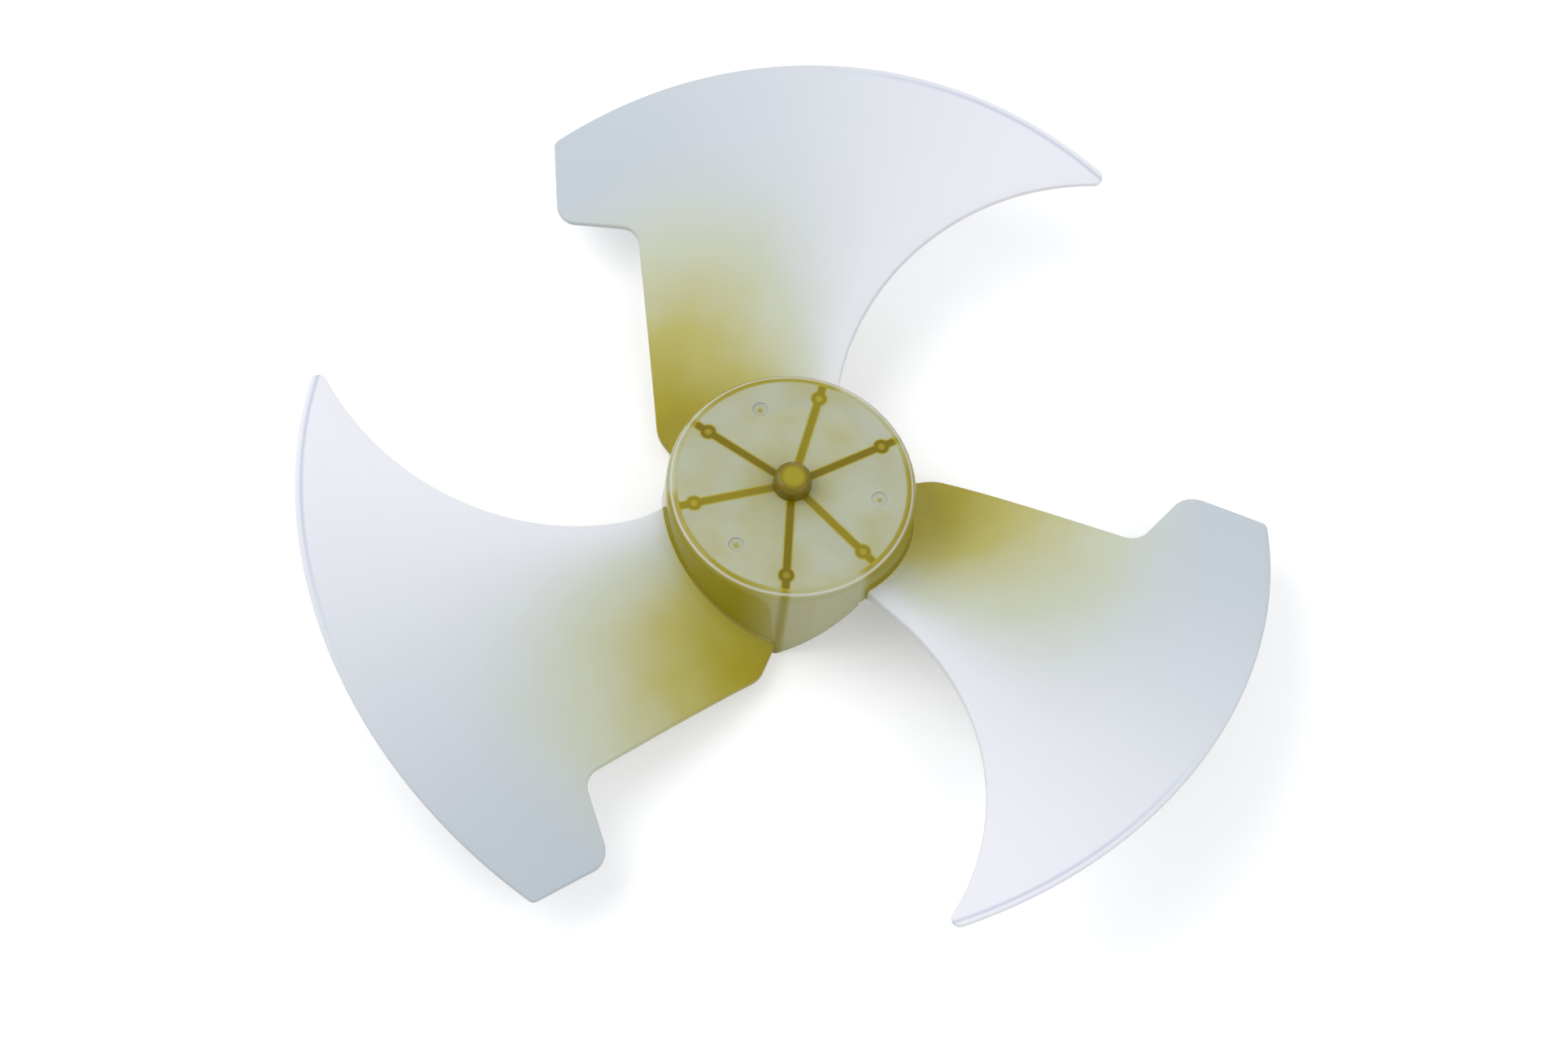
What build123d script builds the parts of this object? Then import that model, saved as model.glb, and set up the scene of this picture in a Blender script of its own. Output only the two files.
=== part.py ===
"""Three-blade axial fan for an air conditioner's outdoor unit, moulded in one piece.

Sizes are in millimetres and angles in degrees. The shaft axis is +Z and the closed disc of
the hub faces up. Heights are measured from the disc's front face, and the finished fan is then
raised so that the origin is at the rear end of the sleeve, where the motor shaft enters. The
angles of one blade are measured from +X, and the other blades are turned copies of it.
"""
import os
from math import cos, hypot, radians, sin, tan

from build123d import *

# Whole fan
fan_radius = 200.0
blade_count = 3

# Hub cup: a closed disc with a drafted wall behind it
hub_radius = 51.0
hub_wall = 3.0
hub_draft = 2.0
disc_thickness = 3.0
hub_rim_round = 4.0
hub_inside_round = 2.0

# Blade outline in plan, from the leading edge round to the trailing edge
lead_root_angle = 74.9
lead_hollow = 33.0
tip_angle = 55.0
tip_round = 3.5
tail_angle = 129.0
tail_round = 3.0
lobe_inset = 31.5
lobe_angle = 134.4
lobe_round = 10.0
notch_width = 23.0
notch_angle = 124.9
notch_round = 9.0
shoulder_reach = 17.0
shoulder_angle = 150.5
shoulder_round = 14.0
trail_root_angle = 155.5

# Blade form: a helical sheet with rake and camber, thicker at the root
lead_root_height = -16.5
blade_lead = 140.0
tip_rake = 12.0
camber_ratio = 0.06
root_thickness = 5.0
tip_thickness = 2.6
edge_round = 0.9
root_cove = 4.0
cove_reach = 12.0

# Rear rim of the cup, which steps from blade to blade like saw teeth
rim_lip = 1.0
rim_overlap = 1.0

# Shaft sleeve, closed at the front: from the rear a round lead-in, then a bore with a driving flat
sleeve_radius = 7.75
sleeve_front = 7.0
sleeve_rear = 34.0
sleeve_round = 1.5
sleeve_crown = 3.0
sleeve_cap = 3.0
bore_radius = 4.0
bore_flat = 3.2
lead_in_radius = 4.25
lead_in_length = 20.0

# Stiffening ribs behind the disc, each with an ejector post
rib_thickness = 3.2
lead_rib_angle = 83.0
lead_rib_inset = 6.0
trail_rib_inset = 17.0
sleeve_rib_inset = 6.0
post_radius = 3.0
post_inset = 10.0
post_length = 1.0

# Gate marks on the front of the disc
gate_inset = 15.0
gate_angle = 120.0
gate_radius = 3.4
gate_depth = 0.7
gate_pip_radius = 0.8
gate_pip_height = 0.4

# Worked out from the sizes above
blade_step = 360 / blade_count
root_radius = hub_radius - hub_wall / 2
lead_root_rim = lead_root_height - root_thickness / 2 - rim_lip
trail_root_rim = lead_root_rim - blade_lead * (trail_root_angle - lead_root_angle) / 360
hub_depth = -trail_root_rim
hub_flare = hub_depth * tan(radians(hub_draft))
over = 10.0


def polar(radius, angle, height=0.0):
    """Point at a radius and an angle about the shaft axis."""
    return Vector(radius * cos(radians(angle)), radius * sin(radians(angle)), height)


def from_axis(edge):
    """Distance of an edge's middle from the shaft axis."""
    middle = edge.position_at(0.5)
    return hypot(middle.X, middle.Y)


def blend(start, end, share):
    """Value that goes evenly from start to end."""
    return start + (end - start) * share


def each_blade(shape):
    """A feature repeated once for every blade."""
    return [Rot(0, 0, blade_step * turn) * shape for turn in range(blade_count)]


def span_share(radius):
    """0 at the hub and 1 at the tip circle."""
    return (radius - hub_radius) / (fan_radius - hub_radius)


def blade_thickness(radius):
    """Thickness of the blade along the axis."""
    return blend(root_thickness, tip_thickness, span_share(radius))


def blade_height(radius, angle):
    """Height of the blade's middle surface: helix, rake and camber together."""
    share = span_share(radius)
    lead = blend(lead_root_angle, tip_angle, share)
    trail = blend(trail_root_angle, tail_angle, share)
    along = (angle - lead) / (trail - lead)
    chord = radius * radians(trail - lead)
    helix = blade_lead * (lead_root_angle - angle) / 360
    bow = camber_ratio * chord * 4 * along * (1 - along)
    return lead_root_height + helix + tip_rake * share**2 + bow


def root_rise(radius):
    """Extra height of the upper skin where it sweeps up into the hub wall."""
    share = min(max((radius - hub_radius) / cove_reach, 0), 1)
    return root_cove * (1 - share) ** 2


def blade_skin(upper):
    """Upper or lower skin of the blade, run past its outline."""
    rows, columns, root_crowding = 13, 13, 1.5
    least_degree, most_degree = 3, 5
    inner, outer = root_radius - over / 2, fan_radius + over
    first, last = tip_angle - over, trail_root_angle + over
    grid = []
    for row in range(rows):
        radius = blend(inner, outer, (row / (rows - 1)) ** root_crowding)
        half = blade_thickness(radius) / 2
        offset = half + root_rise(radius) if upper else -half
        angles = [blend(first, last, column / (columns - 1)) for column in range(columns)]
        grid.append([polar(radius, a, blade_height(radius, a) + offset) for a in angles])
    return Face.make_surface_from_array_of_points(grid, min_deg=least_degree, max_deg=most_degree)


def blade_outline():
    """Plan of one blade, closed inside the wall of the hub."""
    lead_root = polar(root_radius, lead_root_angle)
    tip = polar(fan_radius, tip_angle)
    tail = polar(fan_radius, tail_angle)
    lobe = polar(fan_radius - lobe_inset, lobe_angle)
    notch = polar(fan_radius - lobe_inset - notch_width, notch_angle)
    shoulder = polar(hub_radius + shoulder_reach, shoulder_angle)
    trail_root = polar(root_radius, trail_root_angle)
    rim_middle = polar(fan_radius, (tip_angle + tail_angle) / 2)
    root_middle = polar(root_radius, (lead_root_angle + trail_root_angle) / 2)
    plan = make_face(
        [
            SagittaArc(lead_root, tip, lead_hollow),
            ThreePointArc(tip, rim_middle, tail),
            Polyline(tail, lobe, notch, shoulder, trail_root),
            ThreePointArc(trail_root, root_middle, lead_root),
        ]
    )
    corners = [
        (tip, tip_round),
        (tail, tail_round),
        (lobe, lobe_round),
        (notch, notch_round),
        (shoulder, shoulder_round),
    ]
    for corner, size in corners:
        plan = fillet(plan.vertices().sort_by_distance(corner)[0], size)
    return plan


def blade():
    """One blade, with the edges round its outline rounded."""
    deep = 2 * blade_lead
    column = extrude(Pos(0, 0, -deep / 2) * blade_outline(), deep)
    body = column & extrude(blade_skin(upper=True), deep, dir=(0, 0, -1))
    body -= extrude(blade_skin(upper=False), deep, dir=(0, 0, -1))
    skins = body.faces().sort_by(SortBy.AREA)[-2:]
    edges = [edge for skin in skins for edge in skin.edges()]
    return fillet([edge for edge in edges if from_axis(edge) > hub_radius], edge_round)


def hub_cup():
    """The cup, turned about the axis, before its rear rim is stepped."""
    outer, inner = hub_radius, hub_radius - hub_wall
    with BuildPart() as cup:
        with BuildSketch(Plane.XZ):
            Polygon(
                (0, 0),
                (outer, 0),
                (outer + hub_flare, -hub_depth),
                (inner + hub_flare, -hub_depth),
                (inner, -disc_thickness),
                (0, -disc_thickness),
                align=None,
            )
        revolve(axis=Axis.Z)
        rims = cup.edges().filter_by(GeomType.CIRCLE)
        fillet(rims.sort_by_distance((outer, 0, 0))[0], hub_rim_round)
        rims = cup.edges().filter_by(GeomType.CIRCLE)
        fillet(rims.sort_by_distance((inner, 0, -disc_thickness))[0], hub_inside_round)
    return cup.part


def rim_cutter(first_angle, first_rim, last_angle, last_rim):
    """Wedge that trims the rear rim along a slope from one angle to another."""
    middle = (first_angle + last_angle) / 2
    half = (last_angle - first_angle) / 2
    reach = (hub_radius + hub_flare) * sin(radians(half))
    inside = (hub_radius - hub_wall) * cos(radians(half)) - over / 2
    outward = polar(1, middle)
    seat = Plane(origin=polar(inside, middle), x_dir=polar(1, middle + 90), z_dir=outward)
    rise = (last_rim - first_rim) / (2 * reach) * rim_overlap
    profile = Polygon(
        (-reach - rim_overlap, first_rim - rise),
        (reach + rim_overlap, last_rim + rise),
        (reach + rim_overlap, -hub_depth - over),
        (-reach - rim_overlap, -hub_depth - over),
        align=None,
    )
    return extrude(seat * profile, hub_radius, dir=outward)


def sleeve():
    """Shaft sleeve, standing proud of the disc with a crowned end and reaching back into the cup."""
    tube = Pos(0, 0, -sleeve_rear) * extrude(Circle(sleeve_radius), sleeve_rear + sleeve_front)
    tube = fillet(tube.edges().filter_by(GeomType.CIRCLE).sort_by(Axis.Z)[0], sleeve_round)
    return fillet(tube.edges().filter_by(GeomType.CIRCLE).sort_by(Axis.Z)[-1], sleeve_crown)


def shaft_bore():
    """Bore for the motor shaft: a round lead-in at the rear, and the flat in front of it."""
    flat = Pos(bore_flat + bore_radius, 0) * Rectangle(2 * bore_radius, 2 * bore_radius)
    keyed = Circle(bore_radius) - flat
    bore = extrude(keyed, sleeve_rear + sleeve_front - sleeve_cap)
    return Pos(0, 0, -sleeve_rear) * (bore + extrude(Circle(lead_in_radius), lead_in_length))


def rib(angle, wall_depth):
    """Radial rib from the sleeve to the wall, with its ejector post."""
    sleeve_depth = sleeve_rear - sleeve_rib_inset
    inner, outer = (bore_radius + sleeve_radius) / 2, root_radius
    top = -disc_thickness / 2
    profile = Polygon(
        (inner, top), (inner, -sleeve_depth), (outer, -wall_depth), (outer, top), align=None
    )
    web = extrude(Plane.XZ * profile, rib_thickness / 2, both=True)
    place = hub_radius - post_inset
    depth = blend(sleeve_depth, wall_depth, (place - inner) / (outer - inner)) + post_length
    post = Pos(place, 0, -depth) * extrude(Circle(post_radius), depth + top)
    return Rot(0, 0, angle) * (web + post)


def gate_mark():
    """Shallow round recess with a pip in its middle."""
    dish = Pos(0, 0, -gate_depth) * extrude(Circle(gate_radius), gate_depth)
    pip = Pos(0, 0, -gate_depth) * extrude(Circle(gate_pip_radius), gate_pip_height)
    return Pos(polar(hub_radius - gate_inset, gate_angle)) * (dish - pip)


def fan_blade():
    """The whole moulding."""
    next_lead = lead_root_angle + blade_step
    under_blade = rim_cutter(lead_root_angle, lead_root_rim, trail_root_angle, trail_root_rim)
    in_gap = rim_cutter(trail_root_angle, trail_root_rim, next_lead, lead_root_rim)
    fan = hub_cup() - each_blade(under_blade) - each_blade(in_gap)
    fan += each_blade(blade())
    fan += each_blade(rib(lead_rib_angle, -lead_root_rim - lead_rib_inset))
    fan += each_blade(rib(trail_root_angle, -trail_root_rim - trail_rib_inset))
    fan += sleeve()
    fan -= each_blade(gate_mark())
    return fan - shaft_bore()


os.makedirs("parts", exist_ok=True)
export_step(Pos(0, 0, sleeve_rear) * fan_blade(), "parts/fan_blade.step")
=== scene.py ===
"""Looks of a three-blade axial fan, moulded in one piece in a milky, amber-tinted resin."""

import logging
import math
from collections.abc import Sequence
from dataclasses import dataclass
from enum import Enum
from typing import Any

import bpy
from mathutils import Matrix, Vector


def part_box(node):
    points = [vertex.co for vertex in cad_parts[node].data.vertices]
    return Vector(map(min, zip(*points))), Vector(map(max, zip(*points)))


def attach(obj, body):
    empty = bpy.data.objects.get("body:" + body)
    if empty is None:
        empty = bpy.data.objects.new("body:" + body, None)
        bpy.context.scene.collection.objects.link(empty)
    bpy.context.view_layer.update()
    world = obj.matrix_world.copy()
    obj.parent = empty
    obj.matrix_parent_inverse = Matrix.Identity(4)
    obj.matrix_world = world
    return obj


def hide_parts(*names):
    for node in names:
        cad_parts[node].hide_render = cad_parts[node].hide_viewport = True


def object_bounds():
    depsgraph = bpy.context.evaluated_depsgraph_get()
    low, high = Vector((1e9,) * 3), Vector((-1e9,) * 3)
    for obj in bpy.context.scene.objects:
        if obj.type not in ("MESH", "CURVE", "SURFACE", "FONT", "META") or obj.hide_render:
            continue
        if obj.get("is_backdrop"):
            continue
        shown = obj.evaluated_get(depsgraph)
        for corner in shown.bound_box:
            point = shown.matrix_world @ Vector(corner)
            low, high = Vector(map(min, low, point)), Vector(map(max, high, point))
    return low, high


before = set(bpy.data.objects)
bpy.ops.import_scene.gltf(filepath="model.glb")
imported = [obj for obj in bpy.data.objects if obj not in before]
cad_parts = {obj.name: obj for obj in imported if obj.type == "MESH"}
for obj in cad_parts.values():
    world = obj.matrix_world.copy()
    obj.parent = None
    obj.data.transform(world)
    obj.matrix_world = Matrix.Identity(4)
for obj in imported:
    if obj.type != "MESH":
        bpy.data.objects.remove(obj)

LOG = logging.getLogger("fan")
MM = 0.001
PHOTO_WIDTH = 1928
FULL_TURN = 360.0

MATH = "ShaderNodeMath"
RANGE = "ShaderNodeMapRange"
MIX = "ShaderNodeMix"
NOISE = "ShaderNodeTexNoise"
VECTOR = "ShaderNodeVectorMath"
EASED = {"interpolation_type": "SMOOTHSTEP"}

Colour = tuple[float, float, float, float]
Inputs = Sequence[Any] | dict[str, Any]


def linear(hex_colour: str) -> Colour:
    """Turn an sRGB hex colour into linear light.

    Args:
        hex_colour: Six hex digits after a hash.

    Returns:
        Red, green, blue and an alpha of one.
    """
    shares = [int(hex_colour[i : i + 2], 16) / 255 for i in (1, 3, 5)]
    red, green, blue = (
        s / 12.92 if s <= 0.04045 else ((s + 0.055) / 1.055) ** 2.4 for s in shares
    )
    return red, green, blue, 1.0


def add_node(
    tree: bpy.types.NodeTree, kind: str, inputs: Inputs = (), **settings: Any
) -> bpy.types.NodeSocket | None:
    """Add a node with its settings, its values and its links.

    Args:
        tree: The tree that gets the node.
        kind: The node's type name.
        inputs: Values, or output sockets to link, in the order of the node's sockets or by name.
        settings: The node's own properties.

    Returns:
        The node's first output, if it has one.
    """
    node = tree.nodes.new(kind)
    for name, value in settings.items():
        setattr(node, name, value)
    sockets = [socket for socket in node.inputs if socket.enabled]
    named = {socket.name: socket for socket in sockets}
    pairs = inputs.items() if isinstance(inputs, dict) else enumerate(inputs)
    for key, value in pairs:
        socket = named[key] if isinstance(key, str) else sockets[key]
        if isinstance(value, bpy.types.NodeSocket):
            tree.links.new(value, socket)
        else:
            socket.default_value = value
    return next((socket for socket in node.outputs if socket.enabled), None)


def deselect_all() -> None:
    """Leave nothing selected."""
    bpy.ops.object.select_all(action="DESELECT")


class Lamp(Enum):
    """The studio's square soft boxes: place and side in metres, and power in watts."""

    KEY = ((-1.05, 0.15, 1.15), 1.4, 13.8)
    FILL = ((0.95, -0.35, 1.0), 1.3, 6.4)
    BACK = ((0.1, 1.3, 0.45), 0.7, 2.5)


@dataclass(frozen=True)
class MouldedResin:
    """Styrene-acrylonitrile resin, injection moulded and left natural.

    The resin is milky where the blades are thin and turns amber where light has to cross more
    of it, as at the blade roots, the ribs and the sleeve. The mould leaves a satin skin. Tints
    run from nought, which is clear of amber, to one. Sizes are in mm.
    """

    name: str = "milky_styrene_resin"
    pearl: str = "#F3F3F8"
    haze: str = "#CAD2D8"
    # Painted shade: the darker line inside the tip rim.
    painted_tip_shade: str = "#D4D9E6"
    # Painted highlight: the pale line along the disc's rounded edge.
    painted_edge_highlight: str = "#EDEDE4"
    painted_edge_highlight_strength: float = 0.75
    ambers: tuple[tuple[float, str], ...] = (
        (0.0, "#D6DCD6"),
        (0.3, "#CDD1B8"),
        (0.55, "#BFB96A"),
        (0.8, "#B0A328"),
        (1.0, "#766500"),
    )
    amber_start: float = 0.3
    ior: float = 1.57
    blade_shine: float = 0.12
    hub_shine: float = 0.2
    blade_roughness: float = 0.36
    roughness_swing: float = 0.04
    hub_roughness: float = 0.1
    noise_range: tuple[float, float] = (0.3, 0.7)
    blade_cloud_size: float = 40.0
    blade_cloud_detail: float = 2.0
    blade_clouds: tuple[float, float] = (0.85, 1.1)
    disc_cloud_size: float = 20.0
    disc_cloud_detail: float = 3.0
    disc_clouds: tuple[float, float] = (0.27, 0.43)
    grain_size: float = 0.9
    grain_detail: float = 2.0
    grain_depth: float = 0.02
    grain_strength: float = 0.2
    streak_width: float = 1.2
    streak_length: float = 14.0
    streak_detail: float = 1.0
    blade_clear: float = 0.08
    rib_clear: float = 0.06
    wall_clear: float = 0.3
    disc_clear: float = 0.31
    see_through: float = 0.1
    chord_tints: tuple[float, float] = (0.08, 1.0)
    root_tint: float = 0.1
    deepest_blade: float = 0.82
    deepest_ease: float = 0.2
    # Painted shade in the crease where a blade meets the hub.
    crease_shade_tint: float = 1.0
    lead_rib_tint: float = 0.86
    trail_rib_tint: float = 0.96
    post_core_tint: float = 0.8
    # Painted highlight: the paler ring on the gate mark's edge.
    gate_ring_highlight_tint: float = -0.12
    gate_pip_tint: float = 0.25
    near_sleeve_tint: float = 0.1
    sleeve_tints: tuple[float, float] = (0.84, 0.98)
    inside_tint: float = 0.6
    wall_lead_tint: float = 0.42
    wall_trail_tint: float = 0.8
    wall_gap_drop: float = 0.36
    wall_rib_tint: float = 0.38


@dataclass
class MouldedFan:
    """The fan: hub cup with its ribs and sleeve, and three blades.

    Sizes are in mm and angles in degrees. A pair says where a soft edge starts and ends. Ribs and
    posts have the width that shows through the milky disc, a little more than their own.
    """

    node: str = "fan_blade"
    body: str = "root"
    slot: str = "milky_plastic"
    blade_count: int = 3
    disc_height: float = 34.0
    disc_thickness: float = 3.0
    hub_radius: float = 51.0
    hub_wall: float = 3.0
    hub_draft: float = 2.0
    hub_edge: tuple[float, float] = (0.15, 0.4)
    sleeve_radius: float = 7.75
    sleeve_core: tuple[float, float] = (3.2, 6.2)
    sleeve_shade: float = 25.5
    wall_seen: tuple[float, float] = (46.4, 47.6)
    # Where the painted highlight runs along the disc's rounded edge.
    painted_edge_highlight: float = 49.3
    painted_edge_highlight_fade: tuple[float, float] = (0.2, 0.7)
    lead_root: float = 74.9
    trail_root: float = 155.5
    lead_rib: float = 83.0
    rib_width_seen: float = 3.6
    post_place: float = 41.0
    post_radius_seen: float = 3.4
    post_core: tuple[float, float] = (0.9, 1.8)
    gate_place: float = 36.0
    gate_angle: float = 120.0
    gate_radius: float = 3.4
    # Width of the gate mark's painted highlight ring.
    gate_highlight_line: tuple[float, float] = (0.2, 0.8)
    gate_pip: tuple[float, float] = (0.6, 1.2)
    soft_edge: float = 0.6
    disc_edge: tuple[float, float] = (0.1, 0.6)
    gap_angle: float = 50.0
    pearl_angle: float = 60.0
    haze_angle: float = 132.0
    amber_near: float = 62.0
    amber_far: float = 178.0
    amber_lead: float = 82.0
    amber_trail: float = 142.0
    root_reach: float = 8.0
    # Where the painted shade in the crease lies.
    crease: tuple[float, float] = (0.3, 1.8)
    wall_blade_fade: tuple[float, float] = (3.0, 4.0)
    wall_gap_fade: tuple[float, float] = (24.0, 4.0)
    wall_rib_fade: tuple[float, float] = (0.6, 3.4)
    wall_edge: tuple[float, float] = (1.5, 0.5)
    # Place of the painted shade line inside the tip rim.
    painted_tip_shade_inset: float = 2.6
    painted_tip_shade_width: float = 1.3
    painted_tip_shade_end: float = 100.0
    painted_tip_shade_fade: float = 25.0
    merge_gap: float = 0.002
    smooth_angle: float = 32.0
    finish: MouldedResin = MouldedResin()

    @property
    def fan_radius(self) -> float:
        """Radius of the tip circle, from the moulding's width."""
        low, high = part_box(self.node)
        return (high[0] - low[0]) / 2 / MM

    def build(self) -> bpy.types.Object:
        """Copy the moulding, join its loose triangles and smooth its shading.

        Returns:
            The finished object.
        """
        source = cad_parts[self.node]
        piece = source.copy()
        piece.data = source.data.copy()
        piece.name = "moulded_fan"
        piece.parent = None
        for key in list(piece.keys()):
            del piece[key]
        bpy.context.scene.collection.objects.link(piece)
        deselect_all()
        piece.select_set(True)
        bpy.context.view_layer.objects.active = piece
        bpy.ops.object.mode_set(mode="EDIT")
        bpy.ops.mesh.select_all(action="SELECT")
        bpy.ops.mesh.remove_doubles(threshold=self.merge_gap * MM)
        bpy.ops.object.mode_set(mode="OBJECT")
        if piece.data.has_custom_normals:
            bpy.ops.mesh.customdata_custom_splitnormals_clear()
        bpy.ops.object.shade_smooth_by_angle(angle=math.radians(self.smooth_angle))
        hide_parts(self.node)
        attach(piece, self.body)
        return piece

    def dress(self, piece: bpy.types.Object) -> None:
        """Give the moulding its resin.

        Args:
            piece: The object to dress.
        """
        piece.data.materials.clear()
        piece.data.materials.append(ResinGraph(self).material)


class ResinGraph:
    """The resin's nodes, which tint each place by how much resin light crosses there."""

    def __init__(self, fan: MouldedFan) -> None:
        """Build the material.

        Args:
            fan: The fan that wears the resin.
        """
        self.fan, self.look = fan, fan.finish
        self.material = bpy.data.materials.new(self.look.name)
        self.material.use_nodes = True
        self.tree = self.material.node_tree
        self.tree.nodes.clear()
        self.find_places()
        reach = fan.sleeve_radius
        sleeve = add_node(self.tree, RANGE, (self.radius, reach, reach + fan.soft_edge, 1, 0), **EASED)
        ribs = self.rib_mask()
        disc = self.disc_mask()
        hub = add_node(self.tree, RANGE, (self.off_wall, *fan.hub_edge, 1, 0), **EASED)
        cup = self.hub_tint(ribs, disc, sleeve)
        tint = add_node(self.tree, MIX, (hub, self.blade_tint(), cup))
        thick = add_node(self.tree, MATH, (ribs, sleeve), operation="MAXIMUM")
        colour = self.colour(tint, self.painted_edge_highlight(disc))
        self.finish_surface(colour, self.clearness(hub, thick, disc), hub)

    def find_places(self) -> None:
        """Read the place on the fan in mm, its blade's angle, and its distances from the hub's faces."""
        fan, tree = self.fan, self.tree
        place = add_node(tree, "ShaderNodeTexCoord").node.outputs["Object"]
        self.point = add_node(tree, VECTOR, (place, 1 / MM), operation="SCALE")
        across, along, up = add_node(tree, "ShaderNodeSeparateXYZ", (self.point,)).node.outputs
        flat = add_node(tree, VECTOR, (self.point, (1.0, 1.0, 0.0)), operation="MULTIPLY")
        self.radius = add_node(tree, VECTOR, (flat,), operation="LENGTH").node.outputs["Value"]
        around = add_node(tree, MATH, (along, across), operation="ARCTAN2")
        turn = add_node(tree, MATH, (around,), operation="DEGREES")
        last = fan.gap_angle + FULL_TURN / fan.blade_count
        self.angle = add_node(tree, MATH, (turn, last, fan.gap_angle), operation="WRAP")
        self.height = add_node(tree, MATH, (up, fan.disc_height), operation="SUBTRACT")
        slope = math.tan(math.radians(fan.hub_draft))
        upright = add_node(tree, MATH, (self.height, slope, self.radius), operation="MULTIPLY_ADD")
        self.off_wall = add_node(tree, MATH, (upright, fan.hub_radius), operation="SUBTRACT")

    def blade_tint(self) -> bpy.types.NodeSocket:
        """Amber of a blade: cloudy, deepest at the trailing root, with painted shade in the crease at the
        hub.

        Returns:
            A tint from nought to one.
        """
        fan, look, tree = self.fan, self.look, self.tree
        fade = add_node(tree, RANGE, (self.radius, fan.amber_near, fan.amber_far, 1, 0))
        chord = (self.angle, fan.amber_lead, fan.amber_trail, *look.chord_tints)
        chord = add_node(tree, RANGE, chord)
        noise = {"Scale": 1 / look.blade_cloud_size, "Detail": look.blade_cloud_detail}
        noise = add_node(tree, NOISE, {"Vector": self.point, **noise})
        cloud = add_node(tree, RANGE, (noise, *look.noise_range, *look.blade_clouds))
        root = add_node(tree, RANGE, (self.off_wall, 0, fan.root_reach, look.root_tint, 0), **EASED)
        both = add_node(tree, MATH, (fade, chord), operation="MULTIPLY")
        tint = add_node(tree, MATH, (both, cloud, root), operation="MULTIPLY_ADD")
        tint = add_node(tree, MATH, (tint, look.deepest_blade, look.deepest_ease), operation="SMOOTH_MIN")
        # Painted shade in the crease where the blade meets the hub.
        crease = add_node(tree, RANGE, (self.off_wall, *fan.crease, look.crease_shade_tint, 0), **EASED)
        return add_node(tree, MATH, (tint, crease), operation="MAXIMUM")

    def beside(self, angle: float) -> tuple[bpy.types.NodeSocket, bpy.types.NodeSocket]:
        """Measure a place from a radial line.

        Args:
            angle: The line's angle, in degrees.

        Returns:
            The distance beside the line, and the distance out along it.
        """
        tree = self.tree
        off = add_node(tree, MATH, (self.angle, angle), operation="SUBTRACT")
        off = add_node(tree, MATH, (off,), operation="RADIANS")
        sine = add_node(tree, MATH, (off,), operation="SINE")
        cosine = add_node(tree, MATH, (off,), operation="COSINE")
        side = add_node(tree, MATH, (self.radius, sine), operation="MULTIPLY")
        side = add_node(tree, MATH, (side,), operation="ABSOLUTE")
        return side, add_node(tree, MATH, (self.radius, cosine), operation="MULTIPLY")

    def from_spot(self, angle: float, radius: float) -> bpy.types.NodeSocket:
        """Measure a place from a spot on the disc.

        Args:
            angle: The spot's angle, in degrees.
            radius: The spot's distance from the shaft axis.

        Returns:
            The distance from the spot.
        """
        side, out = self.beside(angle)
        past = add_node(self.tree, MATH, (out, radius), operation="SUBTRACT")
        step = add_node(self.tree, "ShaderNodeCombineXYZ", (side, past, 0.0))
        return add_node(self.tree, VECTOR, (step,), operation="LENGTH").node.outputs["Value"]

    def stripe(
        self, value: bpy.types.NodeSocket, middle: float, fade: tuple[float, float], strength: float
    ) -> bpy.types.NodeSocket:
        """A soft-edged stripe where a value is near its middle.

        Args:
            value: What is measured across the stripe.
            middle: The value in the stripe's middle.
            fade: How far from the middle the stripe starts to fade, and where it has gone.
            strength: The stripe's strength in its middle.

        Returns:
            The strength, which is nought beside the stripe.
        """
        off = add_node(self.tree, MATH, (value, middle), operation="SUBTRACT")
        off = add_node(self.tree, MATH, (off,), operation="ABSOLUTE")
        return add_node(self.tree, RANGE, (off, *fade, strength, 0), **EASED)

    def rib_mask(self) -> bpy.types.NodeSocket:
        """Where a rib or its post lies, seen along the shaft.

        Returns:
            Near one on the ribs and posts, deeper on the trailing ones, and nought between them.
        """
        fan, look, tree, soft = self.fan, self.look, self.tree, self.fan.soft_edge
        inner, half, reach = fan.hub_radius - fan.hub_wall, fan.rib_width_seen / 2, fan.post_radius_seen
        masks = []
        for rib, depth in ((fan.lead_rib, look.lead_rib_tint), (fan.trail_root, look.trail_rib_tint)):
            side, out = self.beside(rib)
            band = add_node(tree, RANGE, (side, half - soft, half + soft, 1, 0), **EASED)
            start = add_node(tree, MATH, (out, fan.sleeve_radius), operation="GREATER_THAN")
            band = add_node(tree, MATH, (band, start), operation="MULTIPLY")
            end = add_node(tree, RANGE, (out, inner - soft, inner + soft, 1, 0), **EASED)
            band = add_node(tree, MATH, (band, end), operation="MULTIPLY")
            far = self.from_spot(rib, fan.post_place)
            post = add_node(tree, RANGE, (far, reach - soft, reach + soft, 1, 0), **EASED)
            mask = add_node(tree, MATH, (band, post), operation="MAXIMUM")
            core = add_node(tree, RANGE, (far, *fan.post_core, look.post_core_tint, 1), **EASED)
            mask = add_node(tree, MATH, (mask, core), operation="MULTIPLY")
            masks.append(add_node(tree, MATH, (mask, depth), operation="MULTIPLY"))
        return add_node(tree, MATH, masks, operation="MAXIMUM")

    def gate_tint(self) -> bpy.types.NodeSocket:
        """Tint of the gate marks: a paler ring, which is a painted highlight on the edge of the mark's
        dish, and a deeper pip.

        Returns:
            What the marks add to the disc's tint.
        """
        fan, look, tree = self.fan, self.look, self.tree
        far = self.from_spot(fan.gate_angle, fan.gate_place)
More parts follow.
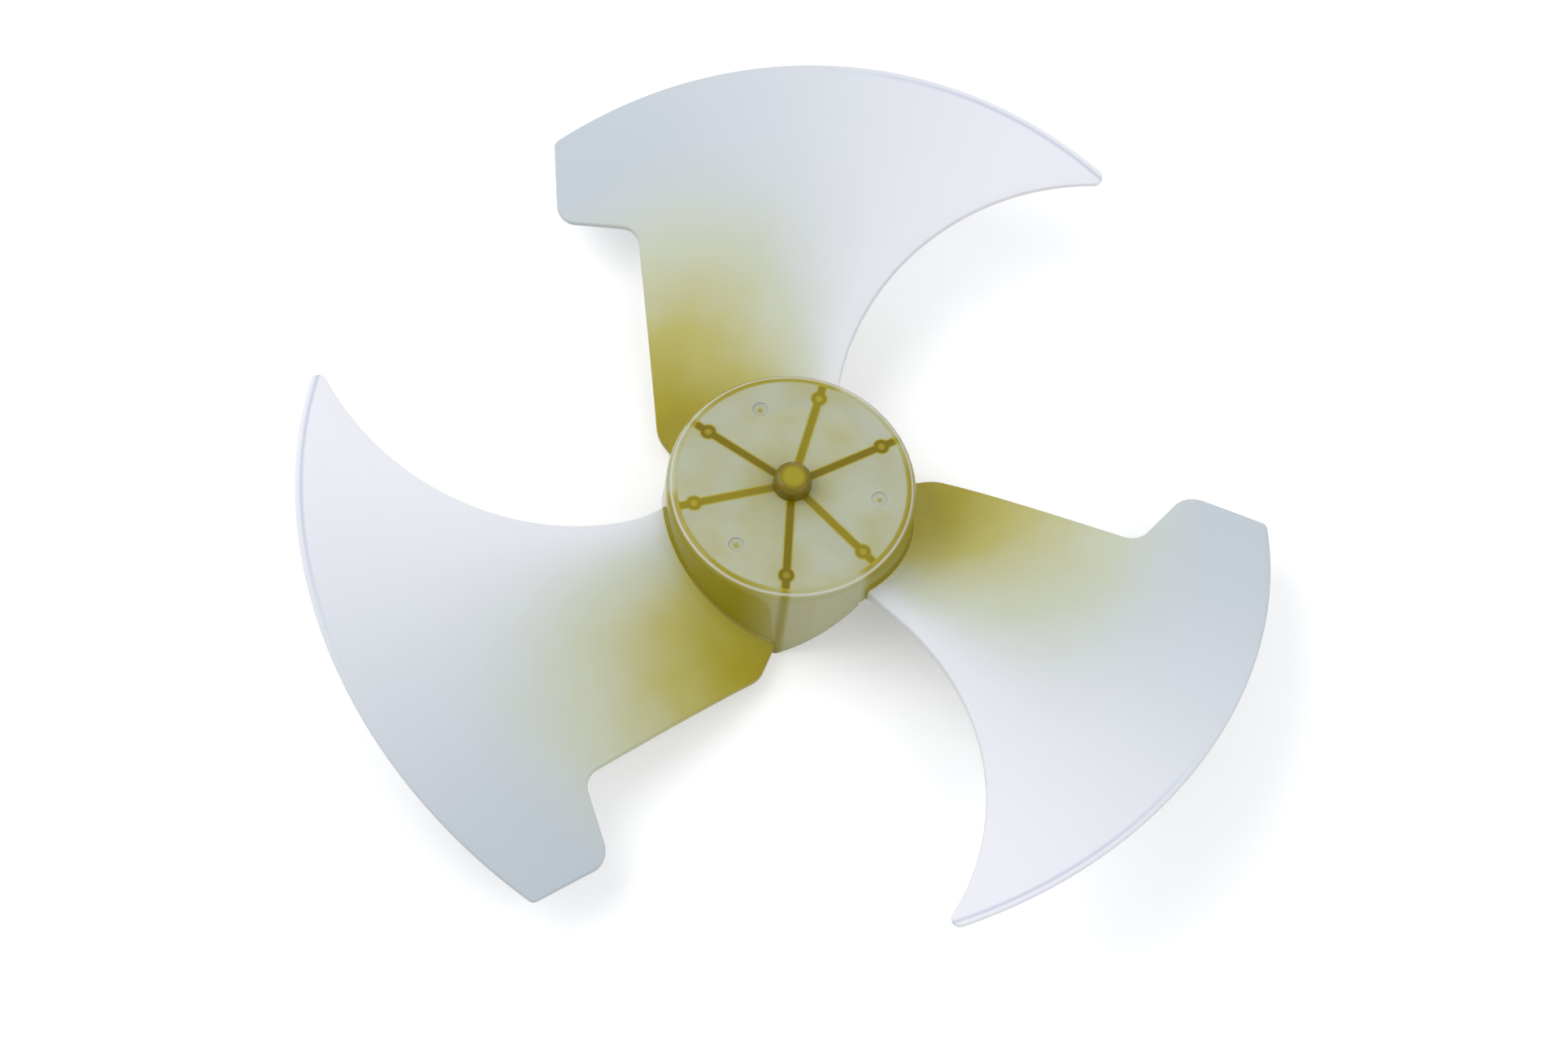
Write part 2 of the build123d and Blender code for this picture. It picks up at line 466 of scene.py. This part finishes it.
        # The paler ring is a painted highlight on the edge of the mark's dish.
        ring = self.stripe(far, fan.gate_radius, fan.gate_highlight_line, look.gate_ring_highlight_tint)
        pip = add_node(tree, RANGE, (far, *fan.gate_pip, look.gate_pip_tint, 0), **EASED)
        return add_node(tree, MATH, (ring, pip), operation="ADD")

    def disc_mask(self) -> bpy.types.NodeSocket:
        """One on the hub's disc, nought behind it."""
        near, far = (-self.fan.disc_thickness - edge for edge in self.fan.disc_edge)
        return add_node(self.tree, RANGE, (self.height, far, near, 0, 1))

    def wall_tint(self) -> bpy.types.NodeSocket:
        """Amber of the hub's wall: deep beside a blade, paler in a gap, with the rib showing through.

        Returns:
            A tint from nought to one.
        """
        fan, look, tree = self.fan, self.look, self.tree
        before, after = fan.wall_blade_fade
        along = (fan.lead_root - before, fan.lead_root + after)
        beside = (self.angle, *along, look.wall_lead_tint, look.wall_trail_tint)
        beside = add_node(tree, RANGE, beside, **EASED)
        before, after = fan.wall_gap_fade
        drop = (self.angle, fan.trail_root - before, fan.trail_root + after, 0, look.wall_gap_drop)
        drop = add_node(tree, RANGE, drop, **EASED)
        tint = add_node(tree, MATH, (beside, drop), operation="SUBTRACT")
        shade = self.stripe(self.angle, fan.trail_root, fan.wall_rib_fade, look.wall_rib_tint)
        return add_node(tree, MATH, (tint, shade), operation="ADD")

    def disc_tint(self, ribs: bpy.types.NodeSocket, wall: bpy.types.NodeSocket) -> bpy.types.NodeSocket:
        """Amber of the disc: pale and cloudy, deeper near the sleeve, on the ribs and over the wall.

        Args:
            ribs: Where a rib lies.
            wall: Tint of the hub's wall.

        Returns:
            A tint from nought to one.
        """
        fan, look, tree = self.fan, self.look, self.tree
        noise = {"Scale": 1 / look.disc_cloud_size, "Detail": look.disc_cloud_detail}
        noise = add_node(tree, NOISE, {"Vector": self.point, **noise})
        tint = add_node(tree, RANGE, (noise, *look.noise_range, *look.disc_clouds))
        near = (self.radius, fan.sleeve_radius, fan.sleeve_shade, look.near_sleeve_tint, 0)
        tint = add_node(tree, MATH, (tint, add_node(tree, RANGE, near, **EASED)), operation="ADD")
        tint = add_node(tree, MATH, (tint, self.gate_tint()), operation="ADD")
        tint = add_node(tree, MIX, (ribs, tint, 1.0))
        over_wall = add_node(tree, RANGE, (self.radius, *fan.wall_seen, 0, 1), **EASED)
        return add_node(tree, MIX, (over_wall, tint, wall))

    def hub_tint(
        self, ribs: bpy.types.NodeSocket, disc: bpy.types.NodeSocket, sleeve: bpy.types.NodeSocket
    ) -> bpy.types.NodeSocket:
        """Amber of the hub: its disc, what lies behind the disc, its wall and its sleeve.

        Args:
            ribs: Where a rib lies.
            disc: Where the disc is.
            sleeve: Where the sleeve is.

        Returns:
            A tint from nought to one.
        """
        fan, look, tree = self.fan, self.look, self.tree
        wall = self.wall_tint()
        first, last = (fan.hub_radius - fan.hub_wall - edge for edge in fan.wall_edge)
        at_wall = add_node(tree, RANGE, (self.radius, first, last, 0, 1))
        behind = add_node(tree, MIX, (at_wall, look.inside_tint, wall))
        hub = add_node(tree, MIX, (disc, behind, self.disc_tint(ribs, wall)))
        boss = add_node(tree, RANGE, (self.radius, *fan.sleeve_core, *look.sleeve_tints), **EASED)
        return add_node(tree, MIX, (sleeve, hub, boss))

    def painted_edge_highlight(self, disc: bpy.types.NodeSocket) -> bpy.types.NodeSocket:
        """The painted highlight: a pale line along the rounded edge of the disc.

        Args:
            disc: Where the disc is.

        Returns:
            The line's strength.
        """
        fan, strength = self.fan, self.look.painted_edge_highlight_strength
        line = self.stripe(self.radius, fan.painted_edge_highlight, fan.painted_edge_highlight_fade, strength)
        return add_node(self.tree, MATH, (line, disc), operation="MULTIPLY")

    def colour(self, tint: bpy.types.NodeSocket, edge: bpy.types.NodeSocket) -> bpy.types.NodeSocket:
        """Colour of the resin: pearly to hazy along a blade, with a painted shade line inside the tip
        rim, then amber with the tint, and the painted highlight on the disc's edge.

        Args:
            tint: How amber the place is.
            edge: Strength of the painted highlight, a pale line on the disc's edge.

        Returns:
            The colour.
        """
        fan, look, tree = self.fan, self.look, self.tree
        share = add_node(tree, RANGE, (self.angle, fan.pearl_angle, fan.haze_angle, 0, 1), **EASED)
        pale = (share, linear(look.pearl), linear(look.haze))
        pale = add_node(tree, MIX, pale, data_type="RGBA")
        # Painted shade line inside the tip rim.
        pale = add_node(tree, MIX, (self.painted_tip_shade(), pale, linear(look.painted_tip_shade)), data_type="RGBA")
        amber = add_node(tree, "ShaderNodeValToRGB", (tint,))
        stops = amber.node.color_ramp.elements
        while len(stops) < len(look.ambers):
            stops.new(1.0)
        for stop, (position, shade) in zip(stops, look.ambers):
            stop.position, stop.color = position, linear(shade)
        turned = add_node(tree, RANGE, (tint, 0, look.amber_start, 0, 1), **EASED)
        resin = add_node(tree, MIX, (turned, pale, amber), data_type="RGBA")
        # Painted highlight along the disc's rounded edge.
        return add_node(tree, MIX, (edge, resin, linear(look.painted_edge_highlight)), data_type="RGBA")

    def painted_tip_shade(self) -> bpy.types.NodeSocket:
        """A faint line of painted shade inside the tip rim, where the rim rolls off slightly; it dies
        away towards the trailing edge.

        Returns:
            One in the middle of the line and nought beside it.
        """
        fan, tree = self.fan, self.tree
        middle = fan.fan_radius - fan.painted_tip_shade_inset
        line = self.stripe(self.radius, middle, (0.0, fan.painted_tip_shade_width), 1.0)
        ends = (self.angle, fan.painted_tip_shade_end - fan.painted_tip_shade_fade, fan.painted_tip_shade_end, 1, 0)
        return add_node(tree, MATH, (line, add_node(tree, RANGE, ends, **EASED)), operation="MULTIPLY")

    def streaks(self) -> bpy.types.NodeSocket:
        """Fine flow streaks that run out along the blades.

        Returns:
            Noise from nought to one.
        """
        look, tree = self.look, self.tree
        turn = add_node(tree, MATH, (self.angle,), operation="RADIANS")
        arc = add_node(tree, MATH, (turn, self.radius), operation="MULTIPLY")
        across = add_node(tree, MATH, (arc, look.streak_width), operation="DIVIDE")
        along = add_node(tree, MATH, (self.radius, look.streak_length), operation="DIVIDE")
        place = add_node(tree, "ShaderNodeCombineXYZ", (along, across, 0.0))
        return add_node(tree, NOISE, {"Vector": place, "Scale": 1.0, "Detail": look.streak_detail})

    def clearness(
        self, hub: bpy.types.NodeSocket, thick: bpy.types.NodeSocket, disc: bpy.types.NodeSocket
    ) -> bpy.types.NodeSocket:
        """Share of light that goes straight through.

        Args:
            hub: Where the hub is.
            thick: Where a rib or the sleeve lies.
            disc: Where the disc is.

        Returns:
            The share.
        """
        look, tree = self.look, self.tree
        front = add_node(tree, MIX, (thick, look.disc_clear, look.rib_clear))
        cup = add_node(tree, MIX, (disc, look.wall_clear, front))
        return add_node(tree, MIX, (hub, look.blade_clear, cup))

    def finish_surface(
        self,
        colour: bpy.types.NodeSocket,
        clear: bpy.types.NodeSocket,
        hub: bpy.types.NodeSocket,
    ) -> None:
        """Join colour, clearness and the mould's grain into the surface.

        Args:
            colour: The resin's colour.
            clear: Share of light that goes straight through.
            hub: Where the hub is, which is glossier.
        """
        look, tree = self.look, self.tree
        streaks = self.streaks()
        smoothest = look.blade_roughness - look.roughness_swing
        roughest = look.blade_roughness + look.roughness_swing
        uneven = add_node(tree, RANGE, (streaks, *look.noise_range, smoothest, roughest))
        satin = add_node(tree, MIX, (hub, uneven, look.hub_roughness))
        noise = {"Vector": self.point, "Scale": 1 / look.grain_size, "Detail": look.grain_detail}
        grain = {
            "Height": add_node(tree, MATH, (add_node(tree, NOISE, noise), streaks), operation="ADD"),
            "Strength": look.grain_strength,
            "Distance": look.grain_depth * MM,
        }
        skin = {
            "Base Color": colour,
            "Roughness": satin,
            "IOR": look.ior,
            "Specular IOR Level": add_node(tree, MIX, (hub, look.blade_shine, look.hub_shine)),
            "Transmission Weight": clear,
            "Normal": add_node(tree, "ShaderNodeBump", grain),
        }
        solid = add_node(tree, "ShaderNodeBsdfPrincipled", skin)
        glow = add_node(tree, "ShaderNodeBsdfTranslucent", {"Color": colour})
        both = add_node(tree, "ShaderNodeMixShader", (look.see_through, solid, glow))
        add_node(tree, "ShaderNodeOutputMaterial", {"Surface": both})


@dataclass
class Studio:
    """Pale floor, soft lamps and a white background."""

    floor_size: float = 12.0
    floor_colour: str = "#EDEDED"
    glow: float = 0.3
    sky: float = 0.55
    sky_colour: str = "#F4F6FA"
    background: str = "#FFFFFF"

    def build(self, floor_height: float) -> None:
        """Set the floor, the lamps and the world.

        Args:
            floor_height: Height of the fan's lowest point, in metres.
        """
        deselect_all()
        bpy.ops.mesh.primitive_plane_add(size=self.floor_size, location=(0, 0, floor_height))
        floor = bpy.context.active_object
        floor.name = "floor"
        bpy.ops.object.transform_apply(location=True)
        floor.data.materials.append(self.paper())
        floor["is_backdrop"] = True
        for lamp in Lamp:
            self.hang(lamp)
        self.light_world()

    def seen(self, tree: bpy.types.NodeTree) -> bpy.types.NodeSocket:
        """Output that is one for rays that show the background.

        Args:
            tree: The tree to read the rays in.

        Returns:
            The output socket.
        """
        path = add_node(tree, "ShaderNodeLightPath").node.outputs
        direct = (path["Is Camera Ray"], path["Is Glossy Ray"])
        either = add_node(tree, MATH, direct, operation="MAXIMUM")
        return add_node(tree, MATH, (either, path["Is Transmission Ray"]), operation="MAXIMUM")

    def paper(self) -> bpy.types.Material:
        """White paper that keeps the fan's shadow.

        Returns:
            The material.
        """
        material = bpy.data.materials.new("studio_paper")
        material.use_nodes = True
        tree = material.node_tree
        tree.nodes.clear()
        plain = add_node(tree, "ShaderNodeBsdfDiffuse", {"Color": linear(self.floor_colour)})
        glow = add_node(tree, "ShaderNodeEmission", {"Strength": self.glow})
        lit = add_node(tree, "ShaderNodeAddShader", (plain, glow))
        both = add_node(tree, "ShaderNodeMixShader", (self.seen(tree), plain, lit))
        add_node(tree, "ShaderNodeOutputMaterial", {"Surface": both})
        return material

    def hang(self, lamp: Lamp) -> None:
        """Hang one soft box, turned to the fan.

        Args:
            lamp: Which soft box.
        """
        place, side, power = lamp.value
        data = bpy.data.lights.new(lamp.name.lower(), "AREA")
        data.size, data.energy = side, power
        box = bpy.data.objects.new(data.name, data)
        box.location = place
        box.rotation_euler = (-Vector(place)).to_track_quat("-Z", "Y").to_euler()
        bpy.context.scene.collection.objects.link(box)

    def light_world(self) -> None:
        """Even sky for light, and white where the background shows."""
        world = bpy.data.worlds.new("studio")
        bpy.context.scene.world = world
        world.use_nodes = True
        tree = world.node_tree
        tree.nodes.clear()
        sky = {"Color": linear(self.sky_colour), "Strength": self.sky}
        sky = add_node(tree, "ShaderNodeBackground", sky)
        white = add_node(tree, "ShaderNodeBackground", {"Color": linear(self.background)})
        both = add_node(tree, "ShaderNodeMixShader", (self.seen(tree), sky, white))
        add_node(tree, "ShaderNodeOutputWorld", {"Surface": both})


@dataclass
class PhotoCamera:
    """The photograph's viewpoint. Lengths in mm, angles in degrees and focal length in pixels."""

    elevation: float = 63.8
    roll: float = 9.76
    shift_right: float = 3.28
    shift_up: float = 14.02
    distance: float = 1466.8
    focal_pixels: float = 4443.2
    aim_height: float = 34.0
    sensor: float = 36.0

    def build(self) -> None:
        """Place the camera and make it the scene's own."""
        tilt, roll = math.radians(self.elevation), math.radians(self.roll)
        back = Vector((0, -math.cos(tilt), math.sin(tilt)))
        level = Vector((1, 0, 0))
        upright = back.cross(level)
        right = level * math.cos(roll) + upright * math.sin(roll)
        top = upright * math.cos(roll) - level * math.sin(roll)
        place = back * self.distance - right * self.shift_right - top * self.shift_up
        place.z += self.aim_height
        data = bpy.data.cameras.new("photo_camera")
        data.sensor_fit, data.sensor_width = "HORIZONTAL", self.sensor
        data.lens = self.focal_pixels / PHOTO_WIDTH * self.sensor
        camera = bpy.data.objects.new(data.name, data)
        axes = Matrix((right, top, back)).transposed()
        camera.matrix_world = Matrix.Translation(place * MM) @ axes.to_4x4()
        bpy.context.scene.collection.objects.link(camera)
        bpy.context.scene.camera = camera


def main() -> None:
    """Build the fan, dress it, and set the studio and the camera."""
    logging.basicConfig(level=logging.INFO)
    cad_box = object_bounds()
    fan = MouldedFan()
    piece = fan.build()
    fan.dress(piece)
    LOG.info("moulded fan: %d faces", len(piece.data.polygons))
    Studio().build(cad_box[0].z)
    LOG.info("studio: %d lamps", len(Lamp))
    PhotoCamera().build()
    LOG.info("camera set")
    bpy.context.scene.view_settings.view_transform = "Standard"


if __name__ == "__main__":
    main()
